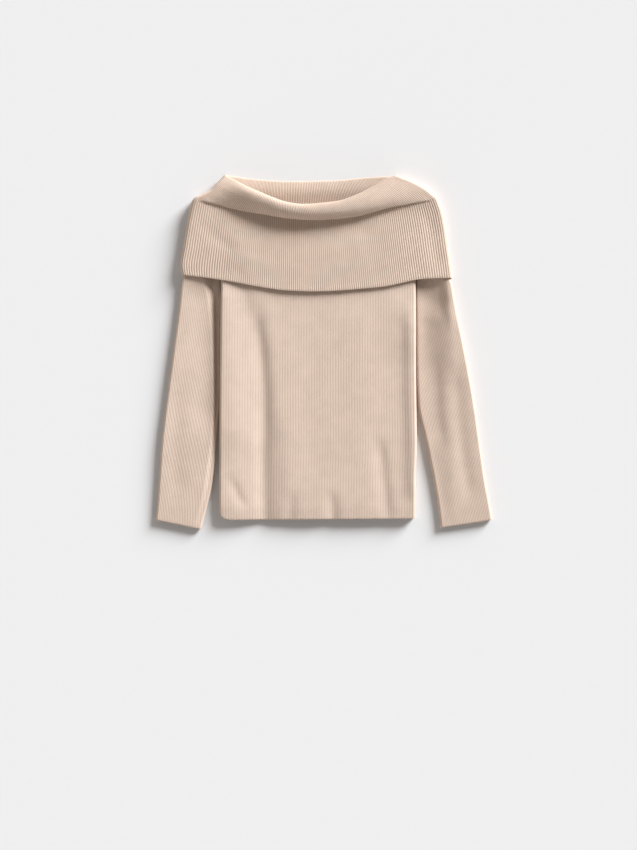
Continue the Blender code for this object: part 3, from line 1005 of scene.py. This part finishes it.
NECK_SEAM = Outline((-245.0, 176 + SEAM_GAP), (218.0, 176 + SEAM_GAP))
FOLD_FRONT = Outline(
    (-178, 318), (-148, 299), (-117, 284.4), (-76, 267.8), (-40, 261.6), (0, 264.5),
    (32, 269.8), (61, 281.2), (90, 296.8), (112, 310.4), (128, 316),
)
FOLD_BACK = Outline(
    (-178, 318), (-128, 311), (-76, 307), (-23, 307), (32, 309), (70, 313), (128, 316)
)
ROLL_FOOT = Outline(
    (-234, 276), (-198, 267), (-148, 254), (-106, 247), (-65, 240), (-23, 237), (32, 240),
    (70, 246), (110, 257), (158, 267), (203, 276),
)
HEM_FRONT = Outline(
    (-254, 140.5), (-185, 130), (-137, 121), (-86, 112.5), (-45, 109.5), (9, 109.5),
    (70, 114), (110, 118), (139, 124), (164, 130), (190, 132.5), (230, 133.3),
)
HEM_BACK = Outline((-254, 140.5), (-200, 122), (176, 122), (230, 133.3))
SEAM_BACK = FLOOR_LAYER + COLLAR_STEP


class Zone(NamedTuple):
    """Outlines that a zone of the collar lies between, in front and behind."""

    front_from: Outline
    front_to: Outline
    back_from: Outline
    back_to: Outline


STANDING = Zone(NECK_SEAM, FOLD_FRONT, NECK_SEAM, FOLD_BACK)
ROLL = Zone(FOLD_FRONT, ROLL_FOOT, FOLD_BACK, HEM_BACK)
FALL = Zone(ROLL_FOOT, HEM_FRONT, FOLD_BACK, HEM_BACK)


class CollarRow(NamedTuple):
    """Row round the collar, on its way from the seam over the fold to the hem.

    The front lies a share of the way through its zone, which may differ at its ends, and its
    height is given at five places from left to right. The back has a share of its own and one
    height. The ends are moved in from the outlines' ends, and the steps are the rows of
    vertices up to the next row.
    """

    zone: Zone
    share: float
    heights: tuple[float, float, float, float, float]
    back_share: float
    back_height: float
    ends_in: tuple[float, float]
    steps: int
    share_at_ends: float | None = None


@dataclass
class Collar:
    """Collar ring: up from the neck seam, over the fold and down to its free hem.

    Shares of the front's width: the folds' ribs are drawn together over peak_share from each
    end, and each row takes its own line over end_reach, from end_start on.
    """

    ribs: int = 128
    relief: float = 0.46
    crest: Colour = (0.65, 0.522, 0.432)
    groove_shade_strength: float = 1.0
    # How strongly painted shade darkens the grooves.
    side: float = 4.6
    side_share: float = 7 / 256
    bunching: float = 0.25
    peak_share: float = 0.2
    height_places: tuple[float, ...] = (0.0, 0.18, 0.42, 0.7, 1.0)
    rows: tuple[CollarRow, ...] = table(
        CollarRow,
        (STANDING, 0.00, (14, 14, 14, 14, 14), 0.00, SEAM_BACK, (0, 0), 2),
        (STANDING, 0.30, (14.2, 13.9, 13.8, 13.9, 14.2), 0.30, 4.4, (0, 0), 3),
        (STANDING, 0.66, (15.0, 13.6, 13.6, 13.6, 15.0), 0.66, 7.0, (0, 0), 5),
        (STANDING, 0.90, (17.0, 22.5, 22.5, 21.0, 17.0), 0.93, 9.6, (0, 0), 6),
        (ROLL, 0.00, (21.0, 38.0, 41.5, 36.5, 20.0), 0.00, 6.6, (0, 0), 4),
        (ROLL, 0.12, (23.0, 40.4, 43.2, 38.8, 22.5), 0.04, 2.4, (2, -7.5), 6),
        (ROLL, 0.38, (24.8, 39.2, 44.0, 39.8, 25.0), 0.11, FLOOR_LAYER, (5.6, -12), 6),
        (ROLL, 0.64, (24.8, 33.4, 42.2, 38.6, 25.4), 0.16, FLOOR_LAYER, (9.4, -10), 5),
        (ROLL, 0.86, (24.4, 26.2, 36.4, 34.4, 24.8), 0.20, FLOOR_LAYER, (4.6, -4), 5),
        (ROLL, 1.00, (23.8, 20.2, 27.0, 27.6, 24.2), 0.225, FLOOR_LAYER, (1.2, -0.4), 4),
        (FALL, -0.06, (23.4, 16.2, 17.8, 21.4, 23.8), 0.24, FLOOR_LAYER, (-0.6, -1.0), 3, 0.02),
        (FALL, 0.03, (22.8, 15.4, 16.2, 18.8, 23.2), 0.26, FLOOR_LAYER, (-2.0, -2.0), 4, 0.05),
        (FALL, 0.14, (21.2, 17.0, 17.6, 20.0, 21.6), 0.33, FLOOR_LAYER, (-3.4, -4.2), 6),
        (FALL, 0.32, (19.6, 20.0, 20.6, 21.6, 19.8), 0.46, FLOOR_LAYER, (-4.6, -5.1), 9),
        (FALL, 0.62, (18.4, 22.0, 22.4, 22.0, 19.2), 0.72, FLOOR_LAYER, (-5.4, -3.2), 8),
        (FALL, 0.92, (18.0, 20.8, 21.8, 21.0, 19.2), 0.94, FLOOR_LAYER, (-4.6, -1.0), 3),
        (FALL, 1.00, (18.0, 20.8, 21.8, 21.0, 19.2), 1.00, FLOOR_LAYER, (-0.6, 0), 0),
    )
    end_start: float = 0.03
    end_reach: float = 0.075
    per_rib: int = 4
    rows_to_plain: int = 3
    plain_below: float = FLOOR_LAYER + 1.2
    creases: tuple[Crease, ...] = (
        Crease(((-216, 232), (-196, 206), (-166, 184)), -0.8, 16, 14, 34),
        Crease(((-176, 246), (-150, 196), (-142, 150)), 0.9, 22, 24, 50),
        Crease(((60, 232), (92, 190), (100, 140)), -0.8, 22, 24, 50),
        Crease(((184, 250), (196, 200), (206, 156)), -1.0, 13, 15, 40),
    )

    def line(self, outline: Outline, fraction: Array) -> Array:
        """Points of one outline, on the folds with ribs drawn together towards both ends.

        Args:
            outline: One of the collar's outlines.
            fraction: Places along it, from left to right.

        Returns:
            Rows of x and y.
        """
        if outline is FOLD_FRONT or outline is FOLD_BACK:
            signed = 2 * fraction - 1
            fraction = (signed * (1 + self.bunching * (1 - np.abs(signed))) + 1) / 2
        return outline.at(fraction)

    def ring(self, row: CollarRow, turn: Array) -> Array:
        """Middle of the wall round one row.

        Args:
            row: The collar's row.
            turn: Places round the ring, 0 to 1 along the front and 1 to 2 back behind.

        Returns:
            Points in millimetres.
        """
        zone, at_ends = row.zone, row.share_at_ends
        if at_ends is None:
            at_ends = row.share
        ends = np.array([0.0, 1.0])
        above, below = self.line(zone.front_from, ends), self.line(zone.front_to, ends)
        start, end = mix(above, below, at_ends)
        start = start + np.array([row.ends_in[0], 0.0])
        end = end - np.array([row.ends_in[1], 0.0])
        front = turn <= 1.0
        fraction = np.where(front, turn, 2.0 - turn)
        place = across(fraction, end[0] - start[0], self.side, self.side_share)
        from_end = np.minimum(fraction, 1 - fraction) - self.end_start
        inside = ease(from_end / self.end_reach)[..., None]
        share = mix(at_ends, row.share, inside)
        above, below = self.line(zone.front_from, fraction), self.line(zone.front_to, fraction)
        before = mix(above, below, share)
        above, below = self.line(zone.back_from, fraction), self.line(zone.back_to, fraction)
        behind = mix(above, below, row.back_share)
        line = np.where(front[..., None], before, behind)
        along = np.clip((fraction - self.end_start) / (1 - 2 * self.end_start), 0, 1)
        front_height = smooth_value(self.height_places, row.heights, along)
        height = np.where(front, front_height, row.back_height)
        edge = np.where(fraction < 0.5, start[1], end[1])
        drawn = ease(np.minimum(fraction, 1 - fraction) / self.peak_share)
        x = start[0] + place.inset
        x = np.where(place.lift == 1.0, mix(x, line[..., 0], drawn), x)
        front_side = np.where(fraction < 0.5, row.heights[0], row.heights[-1])
        side = (front_side + row.back_height) / 2
        y = mix(edge, line[..., 1], place.lift)
        return np.stack([x, y, mix(side, height, place.lift)], -1)

    def middle(self, turn: Array) -> Array:
        """Middle of the wall on a smooth surface through all rows.

        Args:
            turn: Places round the ring.

        Returns:
            Grid of points, from the seam to the hem.
        """
        knots = np.stack([self.ring(row, turn) for row in self.rows])
        gaps = np.maximum(np.linalg.norm(np.diff(knots, axis=0), axis=-1), 1e-6)[..., None]
        steps = np.diff(knots, axis=0) / gaps
        slopes = np.concatenate([
            steps[:1],
            (gaps[:-1] * steps[1:] + gaps[1:] * steps[:-1]) / (gaps[:-1] + gaps[1:]),
            steps[-1:],
        ])
        grid = []
        for i, row in enumerate(self.rows[:-1]):
            rises = slopes[i] * gaps[i], slopes[i + 1] * gaps[i]
            for t in np.arange(row.steps) / row.steps:
                grid.append(cubic(knots[i], knots[i + 1], *rises, t))
        return np.stack([*grid, knots[-1]])

    def build(self) -> bpy.types.Object:
        """Make the collar as a shell of cloth.

        Returns:
            The new object.
        """
        columns = self.ribs * self.per_rib
        turn = np.arange(2 * columns) / columns
        middle = self.middle(turn)
        first_fall = sum(row.steps for row in self.rows if row.zone is not FALL)
        on_fall = (np.arange(len(middle)) >= first_fall)[:, None] & (turn <= 1.0)[None, :]
        lift = creased(self.creases, middle[..., 0], middle[..., 1])
        middle[..., 2] += np.where(on_fall, lift, 0.0)
        travel = np.linalg.norm(np.diff(middle, axis=0), axis=-1)
        travel = np.concatenate([np.zeros((1, travel.shape[1])), np.cumsum(travel, 0)])
        whole = np.append(turn, 2.0)
        number = np.broadcast_to(whole * self.ribs, (len(middle), len(whole)))
        stitch_rows = np.concatenate([travel, travel[:, :1]], 1) / STITCH_LENGTH
        knit = np.stack([number, stitch_rows], -1)
        hidden = (turn > 1.0)[None, :] & (middle[..., 2] < self.plain_below)
        shell = Shell(
            middle=middle,
            relief=np.where(hidden, 0.0, Rib(self.relief).height(number[:, :-1])),
            knit=knit,
            ring=True,
            inner_steps=(self.rows_to_plain, self.per_rib),
            facing=-1,
        )
        finish = RibKnit("collar_knit", crest=self.crest, groove_shade_strength=self.groove_shade_strength)
        piece = shell.make("collar_cloth", finish)
        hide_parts("collar")
        return piece


@dataclass(frozen=True)
class Cut:
    width: float
    length: float
    area: float
    rests_on: tuple[str, ...]

    def declare(self, piece: bpy.types.Object) -> None:
        """Do nothing: the piece stays as it is."""


@dataclass(frozen=True)
class MattSurface:
    """Finish of the pale surface: plain and fully matt."""

    colour: Colour = (0.715, 0.72, 0.725)

    def material(self) -> bpy.types.Material:
        """Build the finish.

        Returns:
            The new material.
        """
        made = bpy.data.materials.new("surface_matt")
        made.use_nodes = True
        shader = made.node_tree.nodes["Principled BSDF"]
        settings = {
            "Base Color": (*self.colour, 1.0),
            "Roughness": 1.0,
            "Specular IOR Level": 0.0,
        }
        dial(shader, settings)
        return made


@dataclass(frozen=True)
class Lamp:
    """Far, soft light: strength on a surface that faces it, and three angles in degrees.

    The elevation is over the horizon, the azimuth round from the right, and the spread is
    the light's width.
    """

    name: str
    strength: float
    elevation: float
    azimuth: float
    spread: float


@dataclass
class Studio:
    """Pale surface, soft light from the upper right and a camera straight above.

    The fill is a sky that fades from a strength low down to a strength overhead, between two
    heights given as sines of the elevation.
    """

    pixel: float = 1.8 * MM
    picture_height: int = 850
    aim: tuple[float, float] = (-0.0099, -0.1319)
    lens: float = 100.0
    sensor: float = 36.0
    cloth_height: float = 0.016
    floor_reach: float = 8.0
    floor_height: float = -0.2 * MM
    key: Lamp = Lamp("key", strength=7.15, elevation=21.0, azimuth=46.0, spread=28.0)
    reflector: Lamp = Lamp("reflector", strength=0.8, elevation=14.0, azimuth=228.0, spread=60.0)
    key_colour: Colour = (0.985, 1.0, 1.02)
    fill_colour: Colour = (1.09, 1.0, 0.93)
    fill_fades: tuple[float, float] = (0.2, 0.95)
    fill_strengths: tuple[float, float] = (0.64, 0.14)

    def floor(self) -> None:
        """Lay the surface that the sweater is on."""
        mesh = bpy.data.meshes.new("surface")
        signs = ((-1, -1), (1, -1), (1, 1), (-1, 1))
        reach, z = self.floor_reach, self.floor_height
        mesh.from_pydata([(reach * x, reach * y, z) for x, y in signs], [], [(0, 1, 2, 3)])
        mesh.materials.append(MattSurface().material())
        surface = bpy.data.objects.new("surface", mesh)
        bpy.context.scene.collection.objects.link(surface)

    def shine(self, lamp: Lamp) -> None:
        """Add one far, soft light.

        Args:
            lamp: The light's settings.
        """
        light = bpy.data.lights.new(lamp.name, "SUN")
        light.energy = lamp.strength
        light.angle = math.radians(lamp.spread)
        light.color = self.key_colour
        shining = bpy.data.objects.new(lamp.name, light)
        rise, turn = math.radians(lamp.elevation), math.radians(lamp.azimuth)
        level = math.cos(rise)
        towards = Vector((level * math.cos(turn), level * math.sin(turn), math.sin(rise)))
        shining.rotation_euler = towards.to_track_quat("Z", "Y").to_euler()
        bpy.context.scene.collection.objects.link(shining)

    def fill(self) -> None:
        """Add the sky that fills the shadows."""
        world = bpy.data.worlds.new("studio")
        world.use_nodes = True
        tree = world.node_tree
        background = tree.nodes["Background"]
        dial(background, {"Color": (*self.fill_colour, 1.0)})
        space = tree.nodes.new("ShaderNodeTexCoord")
        split = tree.nodes.new("ShaderNodeSeparateXYZ")
        tree.links.new(space.outputs["Generated"], split.inputs["Vector"])
        strength = step_node(tree, split.outputs["Z"], self.fill_fades, self.fill_strengths)
        tree.links.new(strength, background.inputs["Strength"])
        bpy.context.scene.world = world

    def camera(self) -> None:
        """Hang the camera straight above, framed as the photograph."""
        data = bpy.data.cameras.new("camera")
        data.lens = self.lens
        data.sensor_width = self.sensor
        data.sensor_fit = "AUTO"
        height = self.pixel * self.picture_height * self.lens / self.sensor
        seen = bpy.data.objects.new("camera", data)
        seen.location = (*self.aim, height + self.cloth_height)
        bpy.context.scene.collection.objects.link(seen)
        bpy.context.scene.camera = seen
        bpy.context.scene.view_settings.view_transform = "Standard"

    def build(self) -> None:
        """Set up the surface, the key light, the reflector across from it, fill and camera."""
        self.floor()
        self.shine(self.key)
        self.shine(self.reflector)
        self.fill()
        self.camera()


BODY_CUT = Cut(0.36, 0.478, 0.168, ("body_back_cloth",))
BACK_CUT = Cut(0.36, 0.478, 0.168, ("surface",))
SLEEVE_CUT = Cut(0.20, 0.49, 0.088, ("surface",))
COLLAR_CUT = Cut(0.97, 0.31, 0.295, ("body_front_cloth", "body_back_cloth", "surface"))


def corners(box: tuple[Vector, Vector]) -> list[list[float]]:
    """Two corners of a box as plain lists of numbers."""
    return [[float(value) for value in corner] for corner in box]


def main() -> None:
    """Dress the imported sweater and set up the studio."""
    logging.basicConfig(level=logging.INFO, format="%(name)s: %(message)s")
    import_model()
    Studio().build()
    body = Body()
    made = [
        (body.build(Panel.FRONT), BODY_CUT),
        (body.build(Panel.BACK), BACK_CUT),
        (LEFT_SLEEVE.build(), SLEEVE_CUT),
        (RIGHT_SLEEVE.build(), SLEEVE_CUT),
        (Collar().build(), COLLAR_CUT),
    ]
    for piece, cut in made:
        cut.declare(piece)
        LOG.info("%s: %d faces", piece.name, len(piece.data.polygons))


if __name__ == "__main__":
    main()
